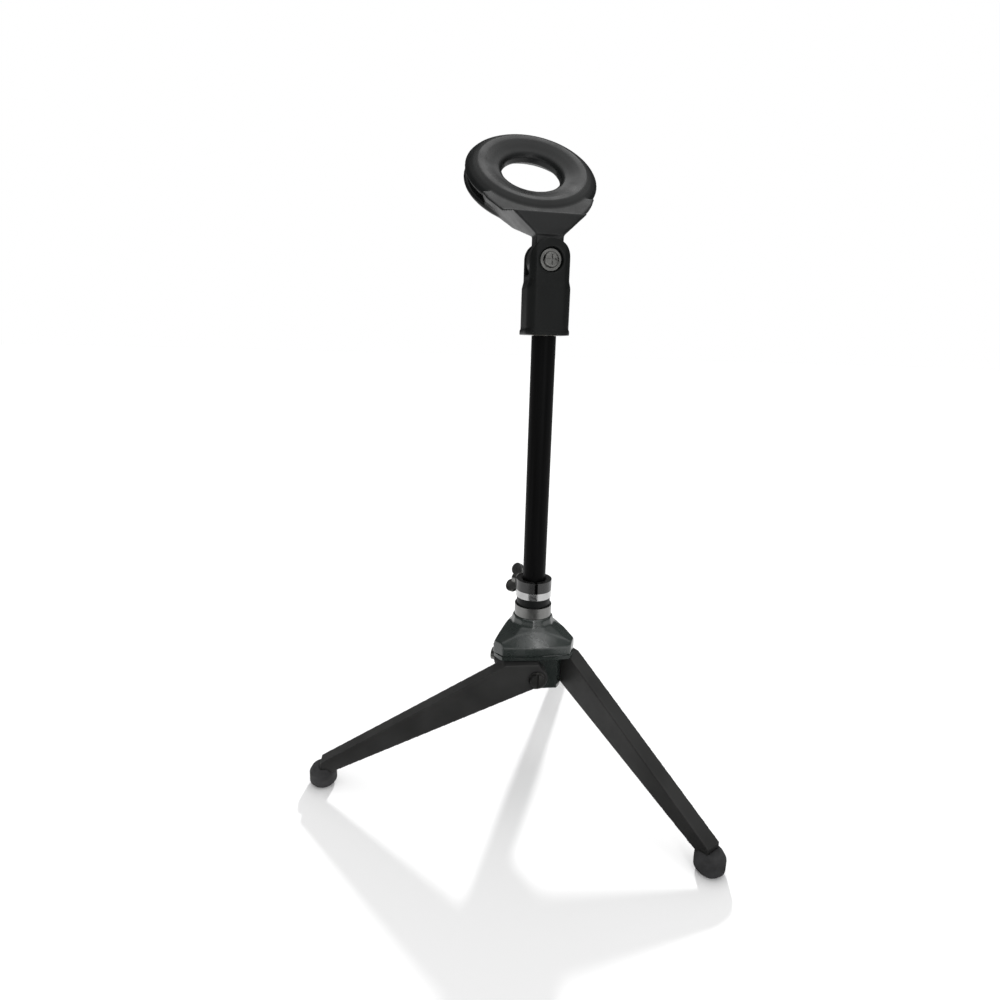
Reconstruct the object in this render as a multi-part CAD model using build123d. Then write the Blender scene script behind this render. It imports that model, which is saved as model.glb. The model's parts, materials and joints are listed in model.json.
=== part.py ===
from build123d import *
from math import cos, radians, sin
import os

# Folding desktop microphone stand, in millimetres. Z is up, and the front is -Y.
# Each piece is modelled round the column axis (x = 0, y = 0) with the floor at z = 0, and moved at
# the end so that the origin is at the middle of the stand's footprint.

# ---- driving dimensions -------------------------------------------------------------------------
RUN = 0.06                  # radial clearance of a running fit
GAP = 0.3                   # clearance between faces that move past each other

# tripod
LEG_ANGLES = (55, 175, 295)     # direction in which each leg points, seen from above
PIVOT_Z = 54.3              # height of the leg screws
FACE = 10.2                 # from the column axis to each leg-mounting face of the block
LEG_T = 8.0                 # thickness of a leg
LEG_REACH = 105.0           # from the leg screw to the middle of the foot, along the leg
LEG_END_Z = 8.9             # height of the thin end of a leg
LEG_END_R = 3.5
LEG_SHOULDER = 15.5         # a leg's top is level from the screw to here, then slopes down
LEG_WALL = 1.6              # wall of the leg's channel
FOOT_R = 6.5
FOOT_H = 10.0
SCREW_R = 2.25              # shoulder of a leg screw
THREAD_R = 2.0

# hub
BLOCK_BOTTOM = 44.5
FLANGE_BOTTOM = 62.1
RIM_Z = 64.0                # lower rim of the bell
BELL_TOP = 81.4
RIM_R = 22.4
BELL_TOP_R = 9.9
FACETS = 12
HUB_SIDE = 15.3             # from the column axis to the middle of each of the bell's three broad sides
SIDE_BULGE_R = 120.0        # radius of the broad sides, seen from above
TUBE_R = 7.2                # neck tube, outside
TUBE_BORE = 6.5
FLANGE_RING_H = 5.3         # heights of the three stacked rings, from the bell up
SPACER_RING_H = 4.2
CHROME_RING_H = 3.5
COLLAR_H = 5.4
COLLAR_R = 8.8
LIP = 1.2                   # top lip of the collar, which covers the tube and the liner
THUMB_UP = 2.2              # from the bottom of the collar up to the thumb screw's axis
THUMB_ANGLE = 125           # direction in which the thumb screw points
SLIT_ANGLE = -97            # direction of the collar's slit

# rod
ROD_R = 5.6
ROD_BORE = 4.0
ROD_TOP = 216.7
STOP_Z = 79.7               # where the rod's lower end stops when the rod is pulled right out
PLUG_R = 6.1
STUD_R = 4.74

# yoke
YOKE_BOTTOM = ROD_TOP + GAP
CLIP_Z = 248.6              # height of the clip's pivot
YOKE_W = 19.8
YOKE_D = 17.2
EAR_W = 18.2
EAR_D = 16.2                # across the outer faces of the two ears
SLOT = 8.4                  # width of the slot between the two ears
ADAPTER_R = 6.7
PIVOT_R = 2.2
RECESS_R = 5.2
RECESS_DEPTH = 2.0

# clip
RING_R = 32.2
RING_BACK = 36.0            # from the pivot back to the middle of the ring
RING_UP = 42.3              # from the pivot up to the middle of the ring
RING_TILT = 45              # the bore leans this far towards the front
BORE_R = 14.5
MOUTH_R = 18.4
NECK_Z = 10.6               # from the pivot up to the narrow end of the neck
RING_T = 12.0

LEG_MID = FACE + GAP + LEG_T / 2        # from the column axis to the middle plane of a leg
SPACER_Z = BELL_TOP + FLANGE_RING_H
CHROME_Z = SPACER_Z + SPACER_RING_H
COLLAR_Z = CHROME_Z + CHROME_RING_H
COLLAR_TOP = COLLAR_Z + COLLAR_H


def tube(outer, inner, bottom, top):
    """Ring or tube about the column axis."""
    body = Pos(0, 0, bottom) * Cylinder(outer, top - bottom, align=(Align.CENTER, Align.CENTER, Align.MIN))
    return body - Pos(0, 0, bottom - 1) * Cylinder(
        inner, top - bottom + 2, align=(Align.CENTER, Align.CENTER, Align.MIN)
    )


def rod_along_y(radius, start, end, z):
    """Cylinder along Y from start to end at height z."""
    plane = Plane(origin=(0, start, z), x_dir=(1, 0, 0), z_dir=(0, 1, 0))
    return extrude(plane * Circle(radius), end - start)


def at_leg(shape, angle):
    """Turn a shape made for a leg along +X, whose mounting face looks towards +Y, to its own angle."""
    return Rot(0, 0, angle) * shape


# ---- tripod -------------------------------------------------------------------------------------
def leg_side():
    """Side view of a leg, x along the leg and y up: high at the root and thin at the foot."""
    top = FLANGE_BOTTOM - GAP
    root = Pos(0, PIVOT_Z) * Circle(5.6)
    outline = Polyline(
        (-5.0, PIVOT_Z - 2),
        (-1.0, top),
        (LEG_SHOULDER, top),
        (LEG_REACH, LEG_END_Z + LEG_END_R),
        (LEG_REACH, LEG_END_Z - LEG_END_R),
        (2.0, PIVOT_Z - 5.8),
        close=True,
    )
    return make_face(outline) + root


def make_leg():
    """Tapered channel, open underneath, with a solid root for the screw and a solid end for the foot."""
    side = Plane(origin=(0, LEG_MID + LEG_T / 2, 0), x_dir=(1, 0, 0), z_dir=(0, -1, 0))
    body = extrude(side * leg_side(), LEG_T)
    pocket_plane = Plane(origin=(0, LEG_MID + LEG_T / 2 - LEG_WALL, 0), x_dir=(1, 0, 0), z_dir=(0, -1, 0))
    below = Polyline(
        (13, FLANGE_BOTTOM - 3.5),
        (LEG_SHOULDER + 2, FLANGE_BOTTOM - 3.5),
        (87, LEG_END_Z + LEG_END_R + 6.8),
        (87, -5),
        (13, -5),
        close=True,
    )
    pocket = extrude(pocket_plane * make_face(below), LEG_T - 2 * LEG_WALL)
    body = body - pocket
    return body - rod_along_y(SCREW_R + RUN, FACE, FACE + LEG_T + 2, PIVOT_Z)


def make_foot():
    """Rubber barrel pressed on the thin end of a leg."""
    profile = Polyline(
        (0, 0),
        (FOOT_R - 1.6, 0),
        (FOOT_R, 2.0),
        (FOOT_R, FOOT_H - 3.0),
        (FOOT_R - 1.4, FOOT_H - 0.6),
        (FOOT_R - 2.6, FOOT_H),
        (0, FOOT_H),
        close=True,
    )
    barrel = revolve(Plane.XZ * make_face(profile), Axis.Z)
    return Pos(LEG_REACH - 1.0, LEG_MID, 0) * barrel


def make_leg_screws():
    """Three slotted shoulder screws, one in each face of the block."""
    head_y = FACE + 2 * GAP + LEG_T + 0.6
    head = rod_along_y(3.5, head_y, head_y + 1.9, PIVOT_Z)
    slot = Pos(0, head_y + 1.6, PIVOT_Z) * Box(1.0, 1.4, 9)
    shoulder = rod_along_y(SCREW_R, FACE, head_y, PIVOT_Z)
    thread = rod_along_y(THREAD_R, FACE - 3.0, FACE, PIVOT_Z)
    screw = (head - slot) + shoulder + thread
    return Compound([at_leg(screw, a) for a in LEG_ANGLES])


def make_leg_washers():
    y = FACE + 2 * GAP + LEG_T
    washer = rod_along_y(4.0, y, y + 0.6, PIVOT_Z) - rod_along_y(SCREW_R, y - 1, y + 2, PIVOT_Z)
    return Compound([at_leg(washer, a) for a in LEG_ANGLES])


def make_leg_inserts():
    insert = rod_along_y(2.8, FACE - 3.1, FACE, PIVOT_Z) - rod_along_y(THREAD_R, FACE - 4, FACE + 1, PIVOT_Z)
    return Compound([at_leg(insert, a) for a in LEG_ANGLES])


# ---- hub ----------------------------------------------------------------------------------------
def three_flats(distance, bottom, top):
    """Prism with three flat sides, each one parallel to a leg."""
    triangle = RegularPolygon(distance, 3, major_radius=False, rotation=LEG_ANGLES[0] - 90)
    return Pos(0, 0, bottom) * extrude(triangle, top - bottom)


def three_bulged_sides(sections):
    """Solid with a broad convex side along each leg, given as (height, distance from the axis)."""
    faces = []
    for z, distance in sections:
        back = distance - SIDE_BULGE_R
        sides = [Rot(0, 0, a) * Pos(0, back, 0) * Circle(SIDE_BULGE_R) for a in LEG_ANGLES]
        faces.append(Pos(0, 0, z) * (sides[0] & sides[1] & sides[2]))
    return loft([f.face() for f in faces], ruled=True)


def make_block():
    """Three-sided block that carries the legs, under a round flange that stops them opening further."""
    prism = three_flats(FACE, BLOCK_BOTTOM, FLANGE_BOTTOM)
    core = Pos(0, 0, BLOCK_BOTTOM) * Cylinder(
        15.5, FLANGE_BOTTOM - BLOCK_BOTTOM, align=(Align.CENTER, Align.CENTER, Align.MIN)
    )
    flange = Pos(0, 0, FLANGE_BOTTOM) * Cylinder(
        RIM_R - 0.9, RIM_Z - FLANGE_BOTTOM, align=(Align.CENTER, Align.CENTER, Align.MIN)
    )
    flange = flange & three_bulged_sides([(FLANGE_BOTTOM, HUB_SIDE - 0.6), (RIM_Z, HUB_SIDE - 0.6)])
    block = (prism & core) + flange
    block = block - Pos(0, 0, BLOCK_BOTTOM - 1) * Cylinder(
        TUBE_BORE, 60, align=(Align.CENTER, Align.CENTER, Align.MIN)
    )
    block = block - Pos(0, 0, FLANGE_BOTTOM + 1.5) * Cylinder(
        TUBE_R, 60, align=(Align.CENTER, Align.CENTER, Align.MIN)
    )
    for angle in LEG_ANGLES:
        block = block - at_leg(rod_along_y(2.8, FACE - 3.1, FACE + 1, PIVOT_Z), angle)
    return block


def facet_loft(sections):
    """Solid through regular polygons given as (height, radius)."""
    faces = [Pos(0, 0, z) * RegularPolygon(r, FACETS, rotation=15) for z, r in sections]
    return loft(faces, ruled=True)


def make_bell():
    """Faceted hood over the block with three broad sides, hollow round a middle boss."""
    outer = facet_loft(
        [
            (RIM_Z, RIM_R - 0.3),
            (RIM_Z + 7.0, RIM_R),
            (BELL_TOP - 4.2, BELL_TOP_R + 1.0),
            (BELL_TOP, BELL_TOP_R),
        ]
    )
    sides = three_bulged_sides(
        [
            (RIM_Z - 1, HUB_SIDE),
            (RIM_Z + 5.0, HUB_SIDE - 0.3),
            (BELL_TOP + 1, BELL_TOP_R),
        ]
    )
    inner = facet_loft(
        [
            (RIM_Z - 1, RIM_R - 3.0),
            (RIM_Z + 5.5, RIM_R - 3.2),
            (BELL_TOP - 7, BELL_TOP_R + 0.4),
        ]
    )
    inner = inner & three_bulged_sides([(RIM_Z - 1, HUB_SIDE - 2.0), (BELL_TOP, BELL_TOP_R - 2.0)])
    boss = Pos(0, 0, RIM_Z) * Cylinder(BELL_TOP_R - 0.4, 17, align=(Align.CENTER, Align.CENTER, Align.MIN))
    bore = Pos(0, 0, RIM_Z - 2) * Cylinder(TUBE_R, 30, align=(Align.CENTER, Align.CENTER, Align.MIN))
    return (outer & sides) - (inner - boss) - bore


def thumb_axis(radius, start, end):
    """Cylinder along the thumb screw's axis, from start to end outwards from the column."""
    direction = (cos(radians(THUMB_ANGLE)), sin(radians(THUMB_ANGLE)), 0)
    z = COLLAR_Z + THUMB_UP
    plane = Plane(origin=(direction[0] * start, direction[1] * start, z), z_dir=direction)
    return extrude(plane * Circle(radius), end - start)


def make_collar():
    """Split ring with a boss for the thumb screw."""
    ring = tube(COLLAR_R, TUBE_R, COLLAR_Z, COLLAR_TOP - LIP)
    ring = ring + tube(COLLAR_R, ROD_R + GAP, COLLAR_TOP - LIP, COLLAR_TOP)
    ring = chamfer(ring.edges().filter_by(GeomType.CIRCLE).sort_by(Axis.Z)[-1], 0.5)
    boss = thumb_axis(2.1, TUBE_R + 0.8, COLLAR_R + 1.0)
    slit = Rot(0, 0, SLIT_ANGLE) * Pos(COLLAR_R - 1, 0, COLLAR_Z + COLLAR_H / 2) * Box(5, 1.6, COLLAR_H + 2)
    return ring + boss - slit - thumb_axis(1.5, 0, 20)


def make_neck_tube():
    """Tube through block, bell, rings and collar; the thumb screw reaches through its wall."""
    return tube(TUBE_R, TUBE_BORE, FLANGE_BOTTOM + 1.5, COLLAR_TOP - LIP) - thumb_axis(1.9, 0, 20)


def make_thumb_screw():
    """Winged screw that presses on the rod's liner."""
    shaft = thumb_axis(1.5 - RUN, TUBE_BORE + GAP, COLLAR_R + 2.2)
    head = thumb_axis(2.6, COLLAR_R + 1.3, COLLAR_R + 4.2)
    z = COLLAR_Z + THUMB_UP
    wing = Pos(COLLAR_R + 4.0, 0, 4.4) * Rot(90, 0, 0) * Cylinder(3.2, 2.4)
    web = Pos(COLLAR_R + 3.0, 0, 2.6) * Box(2.6, 2.4, 3.6)
    wings = wing + web + Rot(180, 0, 0) * (wing + web)
    turned = Pos(0, 0, z) * Rot(0, 0, THUMB_ANGLE) * Rot(28, 0, 0) * wings
    return shaft + head + turned


# ---- rod ----------------------------------------------------------------------------------------
def make_rod_stud():
    """Thread on top of the rod, with a plain shank pressed into the tube."""
    shank = Pos(0, 0, ROD_TOP - 13) * Cylinder(ROD_BORE, 13, align=(Align.CENTER, Align.CENTER, Align.MIN))
    thread = Pos(0, 0, ROD_TOP) * Cylinder(STUD_R, 13, align=(Align.CENTER, Align.CENTER, Align.MIN))
    return shank + chamfer(thread.edges().filter_by(GeomType.CIRCLE).sort_by(Axis.Z)[-1], 0.7)


def make_rod_end_plug():
    """Plug in the lower end of the rod; its flange catches under the liner."""
    flange = Pos(0, 0, STOP_Z - 3.5) * Cylinder(PLUG_R, 3.5, align=(Align.CENTER, Align.CENTER, Align.MIN))
    flange = chamfer(flange.edges().filter_by(GeomType.CIRCLE).sort_by(Axis.Z)[0], 0.8)
    return flange + Pos(0, 0, STOP_Z) * Cylinder(ROD_BORE, 9, align=(Align.CENTER, Align.CENTER, Align.MIN))


# ---- yoke ---------------------------------------------------------------------------------------
def make_yoke():
    """Rounded block with two ears; its underside takes the threaded adapter."""
    shoulder = CLIP_Z - 8.5
    rim = Pos(0, 0, YOKE_BOTTOM) * extrude(RectangleRounded(YOKE_W + 0.8, YOKE_D + 0.8, 4.4), 2.0)
    base = Pos(0, 0, YOKE_BOTTOM) * extrude(RectangleRounded(YOKE_W, YOKE_D, 4), shoulder - YOKE_BOTTOM - 3)
    neck = loft(
        [
            Pos(0, 0, shoulder - 3) * RectangleRounded(YOKE_W, YOKE_D, 4),
            Pos(0, 0, shoulder) * RectangleRounded(EAR_W, EAR_D, 3),
        ]
    )
    ears = Pos(0, 0, shoulder) * extrude(RectangleRounded(EAR_W, EAR_D, 3), 20)
    round_top = rod_along_y(EAR_W / 2, -YOKE_D, YOKE_D, CLIP_Z)
    below_pivot = Pos(0, 0, CLIP_Z) * Box(60, 60, 60, align=(Align.CENTER, Align.CENTER, Align.MAX))
    yoke = rim + base + neck + (ears & (round_top + below_pivot))
    slot = Pos(0, 0, CLIP_Z - 6) * Box(40, SLOT, 40, align=(Align.CENTER, Align.CENTER, Align.MIN))
    slot = slot + rod_along_y(EAR_W / 2 + 0.2, -SLOT / 2, SLOT / 2, CLIP_Z)
    yoke = yoke - slot
    yoke = yoke - Pos(0, 0, YOKE_BOTTOM - 1) * Cylinder(
        ADAPTER_R, 16, align=(Align.CENTER, Align.CENTER, Align.MIN)
    )
    yoke = yoke - rod_along_y(PIVOT_R, -20, 20, CLIP_Z)
    front = -EAR_D / 2
    yoke = yoke - rod_along_y(RECESS_R, front - 1, front + RECESS_DEPTH, CLIP_Z)
    return yoke - rod_along_y(RECESS_R, -front - RECESS_DEPTH, -front + 1, CLIP_Z)


def make_pivot_screw():
    """Round-headed screw through both ears, its head in the front recess."""
    seat = -EAR_D / 2 + RECESS_DEPTH - 0.6
    head = rod_along_y(3.4, seat - 1.4, seat, CLIP_Z)
    head = fillet(head.edges().filter_by(GeomType.CIRCLE).sort_by(Axis.Y)[0], 0.8)
    cross = Pos(0, seat - 1.4, CLIP_Z) * (Box(0.9, 1.8, 4.2) + Box(4.2, 1.8, 0.9))
    return head - cross + rod_along_y(PIVOT_R, seat, EAR_D / 2 - 0.2, CLIP_Z)


def make_pivot_nut():
    """Hexagonal nut in the rear recess."""
    seat = EAR_D / 2 - RECESS_DEPTH + 0.6
    plane = Plane(origin=(0, seat, CLIP_Z), x_dir=(1, 0, 0), z_dir=(0, 1, 0))
    return extrude(plane * RegularPolygon(4.3, 6), 1.5) - rod_along_y(PIVOT_R, 0, 20, CLIP_Z)


def make_pivot_washers():
    seat = EAR_D / 2 - RECESS_DEPTH
    rear = rod_along_y(4.6, seat, seat + 0.6, CLIP_Z) - rod_along_y(PIVOT_R, 0, 20, CLIP_Z)
    return Compound([rear, mirror(rear, Plane.XZ)])


# ---- clip ---------------------------------------------------------------------------------------
def ring_section():
    """Half section of the ring, x outwards from the bore's axis and y along it; it flares both ways."""
    half = RING_T / 2
    outline = Polyline(
        (BORE_R + 7.5, -half),
        (BORE_R, -1.0),
        (BORE_R, 2.0),
        (BORE_R + 1.4, 3.5),
        (MOUTH_R, 4.2),
        (MOUTH_R + 2.4, 5.0),
        (MOUTH_R + 5.2, half - 0.2),
        (MOUTH_R + 7.8, half),
        (RING_R - 3.4, half - 0.9),
        (RING_R - 1.3, half - 2.2),
        (RING_R, half - 3.6),
        (RING_R, half - 4.4),
        (RING_R - 0.8, half - 5.2),
        (RING_R - 3.2, half - 5.8),
        (RING_R - 3.2, half - 7.4),
        (RING_R - 0.6, half - 8.0),
        (RING_R, half - 8.8),
        (RING_R, half - 9.8),
        (RING_R - 1.8, -half + 0.5),
        (RING_R - 4.0, -half),
        close=True,
    )
    return make_face(outline)


def make_clip_neck():
    """V-shaped neck that widens from the tongue into the underside of the ring."""
    bottom = CLIP_Z + NECK_Z
    lean = radians(RING_TILT)
    edge_y = RING_BACK - RING_R * cos(lean) - RING_T / 2 * sin(lean)
    edge_z = CLIP_Z + RING_UP - RING_R * sin(lean) + RING_T / 2 * cos(lean)
    lower_y = edge_y + RING_T * sin(lean)
    lower_z = edge_z - RING_T * cos(lean)
    front_view = Polyline(
        (-6.4, bottom),
        (-24.6, bottom + 16.5),
        (-29.0, bottom + 24.0),
        (29.0, bottom + 24.0),
        (24.6, bottom + 16.5),
        (6.4, bottom),
        close=True,
    )
    side_view = Polyline(
        (-4.4, bottom),
        (-4.2, bottom + 3.0),
        (-3.0, bottom + 9.4),
        (edge_y + 0.6, bottom + 11.6),
        (edge_y + 9.6, edge_z + 7.6),
        (lower_y + 9.0, lower_z + 9.6),
        (lower_y, lower_z + 0.6),
        (4.4, bottom),
        close=True,
    )
    across = extrude(Plane.XZ * make_face(front_view), 40, both=True)
    along = extrude(Plane.YZ * make_face(side_view), 40, both=True)
    bore = Pos(0, RING_BACK, CLIP_Z + RING_UP) * Rot(RING_TILT, 0, 0) * Cylinder(BORE_R + 8.0, 80)
    return (across & along) - bore


def make_clip():
    """Flared ring, neck and tongue in one moulding."""
    ring = revolve(Plane.XZ * ring_section(), Axis.Z)
    ring = Pos(0, RING_BACK, CLIP_Z + RING_UP) * Rot(RING_TILT, 0, 0) * ring
    neck = make_clip_neck()
    thick = SLOT - 2 * GAP
    tongue = rod_along_y(EAR_W / 2 - 0.4, -thick / 2, thick / 2, CLIP_Z)
    web = Pos(0, 0, CLIP_Z) * Box(12.8, thick, NECK_Z + 0.8, align=(Align.CENTER, Align.CENTER, Align.MIN))
    bush_hole = rod_along_y(3.2, -20, 20, CLIP_Z)
    return ring + neck + tongue + web - bush_hole


def make_pivot_bush():
    """Metal sleeve pressed in the tongue, running on the pivot screw."""
    half = SLOT / 2 - GAP
    return rod_along_y(3.2, -half, half, CLIP_Z) - rod_along_y(PIVOT_R + RUN, -half - 1, half + 1, CLIP_Z)


def footprint_shift():
    """Move that brings the middle of the three feet's outline to the origin."""
    reach = LEG_REACH - 1.0
    centres = [at_leg(Pos(reach, LEG_MID, 0) * Box(1, 1, 1), a).center() for a in LEG_ANGLES]
    x = [c.X for c in centres]
    y = [c.Y for c in centres]
    return Pos(-(min(x) + max(x)) / 2, -(min(y) + max(y)) / 2, 0)


def build():
    """Every piece by name."""
    leg = make_leg()
    foot = make_foot() - leg
    parts = {
        "hub_block": make_block(),
        "hub_bell": make_bell(),
        "neck_tube": make_neck_tube(),
        "flange_ring": tube(9.2, TUBE_R, BELL_TOP, SPACER_Z),
        "spacer_ring": tube(8.3, TUBE_R, SPACER_Z, CHROME_Z),
        "chrome_ring": tube(8.8, TUBE_R, CHROME_Z, COLLAR_Z),
        "clamp_collar": make_collar(),
        "guide_bush": tube(TUBE_BORE, ROD_R + RUN, STOP_Z + GAP, COLLAR_TOP - LIP),
        "leg_screws": make_leg_screws(),
        "leg_washers": make_leg_washers(),
        "leg_inserts": make_leg_inserts(),
        "thumb_screw": make_thumb_screw(),
        "rod_tube": tube(ROD_R, ROD_BORE, STOP_Z, ROD_TOP),
        "rod_stud": make_rod_stud(),
        "rod_end_plug": make_rod_end_plug(),
        "yoke": make_yoke(),
        "thread_adapter": tube(ADAPTER_R, STUD_R + RUN, YOKE_BOTTOM + 0.2, YOKE_BOTTOM + 15),
        "pivot_screw": make_pivot_screw(),
        "pivot_nut": make_pivot_nut(),
        "pivot_washers": make_pivot_washers(),
        "clip_ring": make_clip(),
        "pivot_bush": make_pivot_bush(),
    }
    for number, angle in enumerate(LEG_ANGLES, start=1):
        parts[f"leg_{number}"] = at_leg(leg, angle)
        parts[f"foot_{number}"] = at_leg(foot, angle)
    return parts


os.makedirs("parts", exist_ok=True)
shift = footprint_shift()
print("column axis", shift.position)
for name, shape in build().items():
    export_step(shift * shape, f"parts/{name}.step")
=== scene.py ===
import bpy
import json
from math import cos, radians, sin
from mathutils import Matrix, Vector

# Looks of a folding desktop microphone stand. Lengths are in metres and angles in degrees, and the
# stand faces -Y.

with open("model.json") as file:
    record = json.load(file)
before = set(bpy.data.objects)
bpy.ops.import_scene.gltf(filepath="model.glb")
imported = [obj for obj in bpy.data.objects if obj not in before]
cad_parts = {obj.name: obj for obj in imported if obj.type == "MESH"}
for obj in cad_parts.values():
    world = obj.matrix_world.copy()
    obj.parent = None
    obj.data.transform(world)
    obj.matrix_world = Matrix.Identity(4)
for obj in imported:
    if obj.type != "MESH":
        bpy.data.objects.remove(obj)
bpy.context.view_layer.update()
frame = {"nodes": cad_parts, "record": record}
MM = 0.001

# Colours, linear RGB.
CLIP_BLACK = (0.0068, 0.0073, 0.0073)
YOKE_BLACK = (0.0046, 0.0052, 0.0050)
LEG_GREY = (0.0195, 0.0195, 0.0190)
HUB_GREY = (0.017, 0.022, 0.020)
COLLAR_BLACK = (0.011, 0.011, 0.011)
ROD_BLACK = (0.0020, 0.0020, 0.0021)
RUBBER = (0.028, 0.028, 0.029)
ZINC = (0.13, 0.13, 0.125)
DULL_METAL = (0.19, 0.19, 0.185)
CHROME = (0.45, 0.45, 0.45)
BRASS = (0.55, 0.40, 0.19)
NYLON = (0.05, 0.05, 0.048)
PAPER = (0.90, 0.90, 0.90)

# What glossy faces mirror, instead of the white surroundings: a dim room that is bright on one side,
# and a dark card on the floor.
ROOM_BRIGHT_SIDE = (0.15, -0.35, 0.92)
ROOM_DARK = 0.10
ROOM_LIGHT = 1.8
CARD_PLACE = (-0.03, -0.17, 0.002)
CARD_SIZE = (0.22, 0.26)

# Light. The world is plain white to the camera, and lights the stand a little less than that.
WORLD_LIGHT = 0.87
KEY_AZIMUTH = 72            # where the distant key stands, from +X
KEY_ELEVATION = 26.5
KEY_STRENGTH = 2.8
KEY_SPREAD = 3.5
TOP_BOX_PLACE = (0.26, 0.45, 1.40)
TOP_BOX_TARGET = (0.02, 0, 0.2)
TOP_BOX_SIDE = 0.6
TOP_BOX_POWER = 1.8
FRONT_BOX_PLACE = (0.12, -0.9, 0.35)
FRONT_BOX_TARGET = (0.02, 0, 0.1)
FRONT_BOX_WIDTH = 0.05
FRONT_BOX_HEIGHT = 0.9
FRONT_BOX_POWER = 1.6
FLOOR_RADIUS = 20

# The camera stands close to the column, at its front left and below the clip, and looks down.
COLUMN = Vector((0.02389, -0.00269, 0.0))
CAMERA_AZIMUTH = -15.14
CAMERA_DISTANCE = 0.2952
CAMERA_HEIGHT = 0.2102
CAMERA_YAW = -3.50          # positive turns it to the right
CAMERA_PITCH = 13.53
CAMERA_ROLL = 1.49
LENS = 22.51


# ---- material helpers ---------------------------------------------------------------------------
def new_material(name, metallic=0.0, specular=0.5):
    """A material with only a Principled shader and its output."""
    material = bpy.data.materials.new(name)
    material.use_nodes = True
    shader = material.node_tree.nodes["Principled BSDF"]
    shader.inputs["Metallic"].default_value = metallic
    shader.inputs["Specular IOR Level"].default_value = specular
    return material, material.node_tree, shader


def noise(tree, scale, detail=3.0, stretch=(1, 1, 1)):
    """Noise in object space, scale in cells per metre."""
    coords = tree.nodes.new("ShaderNodeTexCoord")
    mapping = tree.nodes.new("ShaderNodeMapping")
    mapping.inputs["Scale"].default_value = stretch
    texture = tree.nodes.new("ShaderNodeTexNoise")
    texture.inputs["Scale"].default_value = scale
    texture.inputs["Detail"].default_value = detail
    tree.links.new(coords.outputs["Object"], mapping.inputs["Vector"])
    tree.links.new(mapping.outputs["Vector"], texture.inputs["Vector"])
    return texture.outputs["Fac"]


def ramp(tree, source, low, high, start=0.0, end=1.0):
    """Map a value from start..end to low..high, which are two numbers or two colours."""
    node = tree.nodes.new("ShaderNodeValToRGB")
    node.color_ramp.elements[0].position = start
    node.color_ramp.elements[1].position = end
    node.color_ramp.elements[0].color = as_colour(low)
    node.color_ramp.elements[1].color = as_colour(high)
    tree.links.new(source, node.inputs["Fac"])
    return node.outputs["Color"]


def as_colour(value):
    """Colour with alpha, from a grey level or a colour."""
    if isinstance(value, (int, float)):
        return (value, value, value, 1.0)
    return (*value, 1.0)


def lighter(colour, factor):
    """The colour times a factor, which darkens it below 1."""
    return tuple(min(1.0, c * factor) for c in colour)


def worn_edges(tree, base, worn, radius, amount):
    """The base colour, turning to the worn one along sharp edges."""
    bevel = tree.nodes.new("ShaderNodeBevel")
    bevel.samples = 4
    bevel.inputs["Radius"].default_value = radius
    geometry = tree.nodes.new("ShaderNodeNewGeometry")
    dot = tree.nodes.new("ShaderNodeVectorMath")
    dot.operation = "DOT_PRODUCT"
    tree.links.new(bevel.outputs["Normal"], dot.inputs[0])
    tree.links.new(geometry.outputs["Normal"], dot.inputs[1])
    edge = ramp(tree, dot.outputs["Value"], 1.0, 0.0, 0.80, 0.98)
    patchy = ramp(tree, noise(tree, 900, 2), 0.0, amount, 0.35, 0.7)
    mask = tree.nodes.new("ShaderNodeMath")
    mask.operation = "MULTIPLY"
    tree.links.new(edge, mask.inputs[0])
    tree.links.new(patchy, mask.inputs[1])
    mix = tree.nodes.new("ShaderNodeMix")
    mix.data_type = "RGBA"
    tree.links.new(mask.outputs["Value"], mix.inputs["Factor"])
    tree.links.new(base, mix.inputs["A"])
    mix.inputs["B"].default_value = as_colour(worn)
    return mix.outputs["Result"]


def add_bump(tree, shader, height, strength, distance):
    """Fine relief from a height field."""
    bump = tree.nodes.new("ShaderNodeBump")
    bump.inputs["Strength"].default_value = strength
    bump.inputs["Distance"].default_value = distance
    tree.links.new(height, bump.inputs["Height"])
    tree.links.new(bump.outputs["Normal"], shader.inputs["Normal"])


# ---- materials ----------------------------------------------------------------------------------
def moulded_plastic(name, colour, roughness, grain, specular=0.3):
    """Injection-moulded plastic: cloudy colour, a fine spark-eroded grain and paler rubbed edges."""
    material, tree, shader = new_material(name, specular=specular)
    cloudy = ramp(tree, noise(tree, 60, 4), lighter(colour, 0.8), lighter(colour, 1.25), 0.3, 0.7)
    coloured = worn_edges(tree, cloudy, lighter(colour, 2.2), 0.5 * MM, 0.5)
    tree.links.new(coloured, shader.inputs["Base Color"])
    smears = noise(tree, 140, 5, (1, 1, 0.5))
    dullness = ramp(tree, smears, roughness - 0.07, roughness + 0.09, 0.3, 0.7)
    tree.links.new(dullness, shader.inputs["Roughness"])
    add_bump(tree, shader, noise(tree, 2600, 2), grain, 0.06 * MM)
    return material


def rod_paint():
    """Satin black paint on a drawn tube: fine lines along it, and a few rubbed marks."""
    material, tree, shader = new_material("rod_paint", specular=0.04)
    lines = noise(tree, 900, 3, (1, 1, 0.02))
    colour = ramp(tree, lines, lighter(ROD_BLACK, 0.7), lighter(ROD_BLACK, 1.5), 0.3, 0.7)
    coloured = worn_edges(tree, colour, (0.05, 0.05, 0.05), 0.4 * MM, 0.5)
    tree.links.new(coloured, shader.inputs["Base Color"])
    rubbed = noise(tree, 45, 4, (1, 1, 0.35))
    tree.links.new(ramp(tree, rubbed, 0.34, 0.5, 0.3, 0.7), shader.inputs["Roughness"])
    add_bump(tree, shader, lines, 0.12, 0.02 * MM)
    return material


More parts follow.
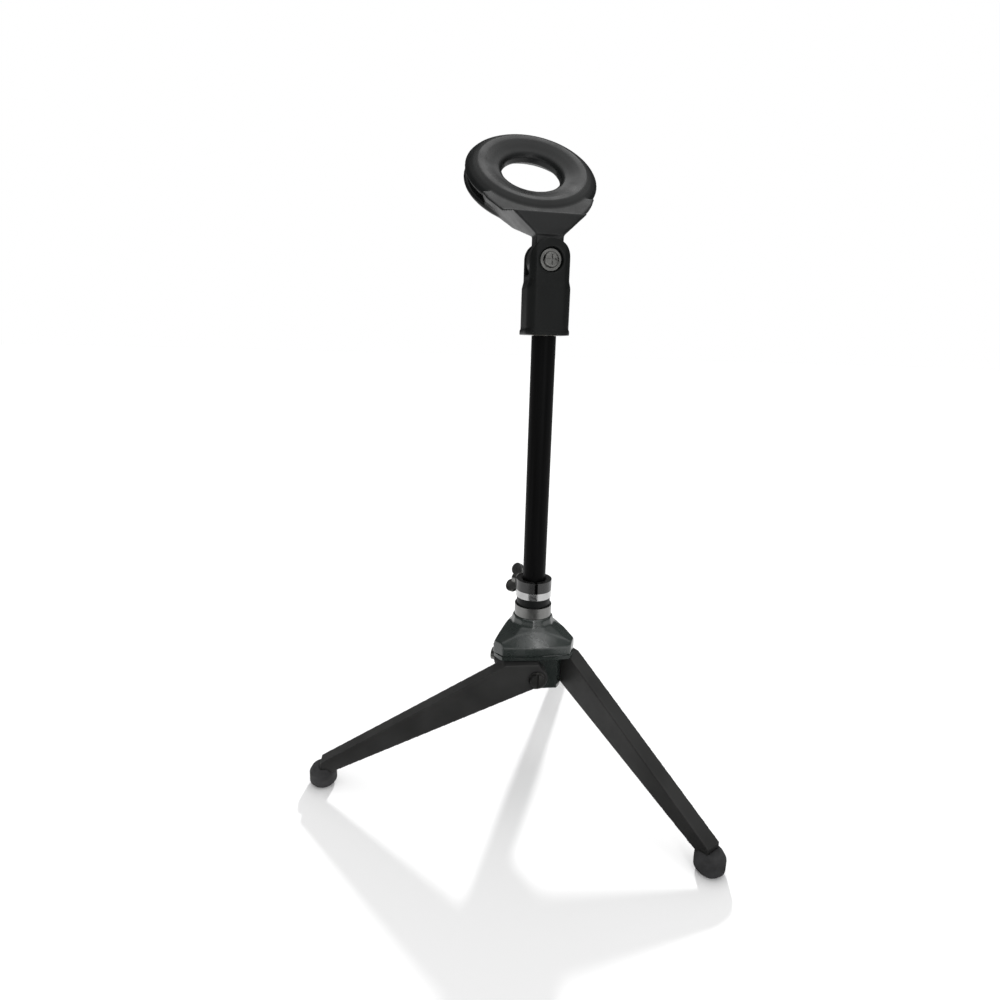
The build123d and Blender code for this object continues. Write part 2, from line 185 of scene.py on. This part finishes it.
def metal(name, colour, roughness, turned=True):
    """Metal with turning marks round the column or fine speckle, dulled in patches."""
    material, tree, shader = new_material(name, metallic=1.0)
    stretch = (0.05, 0.05, 1) if turned else (1, 1, 1)
    marks = noise(tree, 5000, 2, stretch)
    patches = noise(tree, 220, 4)
    tone = ramp(tree, patches, lighter(colour, 0.78), lighter(colour, 1.1), 0.3, 0.7)
    tree.links.new(worn_edges(tree, tone, lighter(colour, 1.5), 0.3 * MM, 0.6), shader.inputs["Base Color"])
    low = max(0.03, roughness - 0.06)
    tree.links.new(ramp(tree, patches, low, roughness + 0.12, 0.25, 0.75), shader.inputs["Roughness"])
    add_bump(tree, shader, marks, 0.1, 0.02 * MM)
    return material


def foot_rubber():
    """Matt rubber with a dusty bloom and a coarse grain."""
    material, tree, shader = new_material("foot_rubber", specular=0.2)
    bloom = ramp(tree, noise(tree, 160, 5), lighter(RUBBER, 0.8), lighter(RUBBER, 1.5), 0.35, 0.75)
    tree.links.new(worn_edges(tree, bloom, (0.09, 0.09, 0.09), 0.6 * MM, 0.35), shader.inputs["Base Color"])
    tree.links.new(ramp(tree, noise(tree, 300, 3), 0.62, 0.82, 0.3, 0.7), shader.inputs["Roughness"])
    add_bump(tree, shader, noise(tree, 1800, 3), 0.35, 0.1 * MM)
    return material


def studio_paper():
    """Matt near-white studio paper."""
    material, tree, shader = new_material("studio_paper", specular=0.0)
    tone = ramp(tree, noise(tree, 2, 3), lighter(PAPER, 0.99), lighter(PAPER, 1.01))
    tree.links.new(tone, shader.inputs["Base Color"])
    shader.inputs["Roughness"].default_value = 0.95
    return material


def paint_pieces():
    """Give every CAD node the material of its slot."""
    looks = {
        "hub_plastic": moulded_plastic("hub_plastic", HUB_GREY, 0.25, 0.06, 0.7),
        "black_plastic": moulded_plastic("black_plastic", YOKE_BLACK, 0.42, 0.2, 0.12),
        "clip_plastic": moulded_plastic("clip_plastic", CLIP_BLACK, 0.32, 0.12, 0.22),
        "leg_plastic": moulded_plastic("leg_plastic", LEG_GREY, 0.46, 0.25, 0.22),
        "collar_metal": moulded_plastic("collar_paint", COLLAR_BLACK, 0.28, 0.1, 0.5),
        "foot_rubber": foot_rubber(),
        "rod_paint": rod_paint(),
        "steel": metal("zinc_steel", ZINC, 0.3, turned=False),
        "dull_metal": metal("dull_metal", DULL_METAL, 0.3),
        "chrome": metal("chrome", CHROME, 0.16),
        "brass": metal("brass", BRASS, 0.28, turned=False),
        "nylon": moulded_plastic("nylon", NYLON, 0.5, 0.1),
    }
    for part in frame["record"]["subparts"]:
        node = frame["nodes"][part["node"]]
        node.data.materials.clear()
        node.data.materials.append(looks[part["material_slot"]])


# ---- shapes -------------------------------------------------------------------------------------
# Moulded pieces: voxel size in millimetres and rounds of smoothing.
SOFTENED = {
    "clip_ring": (0.45, 8),
    "yoke": (0.35, 4),
    "hub_bell": (0.45, 14),
    "leg_1": (0.40, 3),
    "leg_2": (0.40, 3),
    "leg_3": (0.40, 3),
    "foot_1": (0.30, 4),
    "foot_2": (0.30, 4),
    "foot_3": (0.30, 4),
    "thumb_screw": (0.22, 4),
}
# Other pieces: width of the edge bevel in millimetres.
BEVELS = {"hub_block": 0.4, "clamp_collar": 0.35}
SMALL_BEVEL = 0.2


def soften_pieces():
    """Melt the edges of the moulded pieces, and put a small bevel on the others."""
    for name, node in frame["nodes"].items():
        if name in SOFTENED:
            size, rounds = SOFTENED[name]
            skin = node.modifiers.new("skin", "REMESH")
            skin.mode = "VOXEL"
            skin.voxel_size = size * MM
            skin.use_smooth_shade = True
            smooth = node.modifiers.new("smooth", "SMOOTH")
            smooth.iterations = rounds
        else:
            bevel = node.modifiers.new("bevel", "BEVEL")
            bevel.width = BEVELS.get(name, SMALL_BEVEL) * MM
            bevel.segments = 2
            bevel.limit_method = "ANGLE"
            bevel.angle_limit = radians(35)
            bevel.harden_normals = True


# ---- studio -------------------------------------------------------------------------------------
def make_stage():
    """A flat sheet of studio paper that reaches to the horizon."""
    bpy.ops.mesh.primitive_circle_add(vertices=128, radius=FLOOR_RADIUS, fill_type="NGON")
    floor = bpy.context.object
    floor.name = "studio_floor"
    floor.data.materials.append(studio_paper())


def add_dark_card():
    """A dark card on the floor in front that only reflections see, for contrast in the metal rings."""
    bpy.ops.mesh.primitive_plane_add(size=1, location=CARD_PLACE, rotation=(0, 0, radians(CAMERA_AZIMUTH)))
    card = bpy.context.object
    card.name = "dark_card"
    card.scale = (*CARD_SIZE, 1)
    material, tree, shader = new_material("dark_card", specular=0.0)
    tone = ramp(tree, noise(tree, 30, 2), 0.010, 0.014)
    tree.links.new(tone, shader.inputs["Base Color"])
    shader.inputs["Roughness"].default_value = 1.0
    card.data.materials.append(material)
    card.visible_camera = False
    card.visible_diffuse = False
    card.visible_shadow = False


def add_light(name, place, target, width, height, power):
    """Rectangular soft box that faces a target."""
    data = bpy.data.lights.new(name, "AREA")
    data.shape = "RECTANGLE"
    data.size = width
    data.size_y = height
    data.energy = power
    light = bpy.data.objects.new(name, data)
    bpy.context.scene.collection.objects.link(light)
    light.location = place
    light.rotation_euler = (Vector(target) - Vector(place)).to_track_quat("-Z", "Y").to_euler()


def add_sun(azimuth, elevation, strength, spread):
    """Soft distant lamp at an angle from +X and above the floor, kept out of reflections."""
    data = bpy.data.lights.new("key_behind", "SUN")
    data.energy = strength
    data.angle = radians(spread)
    sun = bpy.data.objects.new("key_behind", data)
    bpy.context.scene.collection.objects.link(sun)
    a, e = radians(azimuth), radians(elevation)
    towards = Vector((cos(a) * cos(e), sin(a) * cos(e), sin(e)))
    sun.rotation_euler = towards.to_track_quat("Z", "Y").to_euler()
    sun.visible_glossy = False


def light_world():
    """White surroundings that reflect as a dim room, bright overhead in front."""
    world = bpy.data.worlds.new("studio")
    world.use_nodes = True
    tree = world.node_tree
    background = tree.nodes["Background"]
    coords = tree.nodes.new("ShaderNodeTexCoord")
    dot = tree.nodes.new("ShaderNodeVectorMath")
    dot.operation = "DOT_PRODUCT"
    dot.inputs[1].default_value = ROOM_BRIGHT_SIDE
    tree.links.new(coords.outputs["Generated"], dot.inputs[0])
    room = ramp(tree, dot.outputs["Value"], ROOM_DARK, ROOM_LIGHT, 0.55, 1.0)
    path = tree.nodes.new("ShaderNodeLightPath")
    mix = tree.nodes.new("ShaderNodeMix")
    mix.data_type = "RGBA"
    tree.links.new(path.outputs["Is Glossy Ray"], mix.inputs["Factor"])
    mix.inputs["A"].default_value = (1, 1, 1, 1)
    tree.links.new(room, mix.inputs["B"])
    tree.links.new(mix.outputs["Result"], background.inputs["Color"])
    strength = ramp(tree, path.outputs["Is Camera Ray"], WORLD_LIGHT, 1.0)
    tree.links.new(strength, background.inputs["Strength"])
    bpy.context.scene.world = world


def light_studio():
    """A low key behind throws the shadows forward, one box lights the clip and one glints in the hub."""
    light_world()
    add_sun(KEY_AZIMUTH, KEY_ELEVATION, KEY_STRENGTH, KEY_SPREAD)
    add_light("top_box", TOP_BOX_PLACE, TOP_BOX_TARGET, TOP_BOX_SIDE, TOP_BOX_SIDE, TOP_BOX_POWER)
    add_light(
        "front_box",
        FRONT_BOX_PLACE,
        FRONT_BOX_TARGET,
        FRONT_BOX_WIDTH,
        FRONT_BOX_HEIGHT,
        FRONT_BOX_POWER,
    )
    bpy.context.scene.view_settings.view_transform = "Standard"


def place_camera():
    """Camera beside the column, aimed by yaw, pitch and roll."""
    azimuth = radians(CAMERA_AZIMUTH)
    away = Vector((-sin(azimuth), cos(azimuth), 0))
    data = bpy.data.cameras.new("camera")
    data.lens = LENS
    data.sensor_width = 36
    data.clip_start = 0.01
    data.clip_end = 50
    camera = bpy.data.objects.new("camera", data)
    bpy.context.scene.collection.objects.link(camera)
    camera.location = COLUMN - away * CAMERA_DISTANCE + Vector((0, 0, CAMERA_HEIGHT))
    heading = azimuth - radians(CAMERA_YAW)
    turn = Matrix.Rotation(heading, 4, "Z") @ Matrix.Rotation(radians(90 - CAMERA_PITCH), 4, "X")
    camera.rotation_euler = (turn @ Matrix.Rotation(radians(CAMERA_ROLL), 4, "Z")).to_euler()
    bpy.context.scene.camera = camera


paint_pieces()
soften_pieces()
make_stage()
add_dark_card()
light_studio()
place_camera()
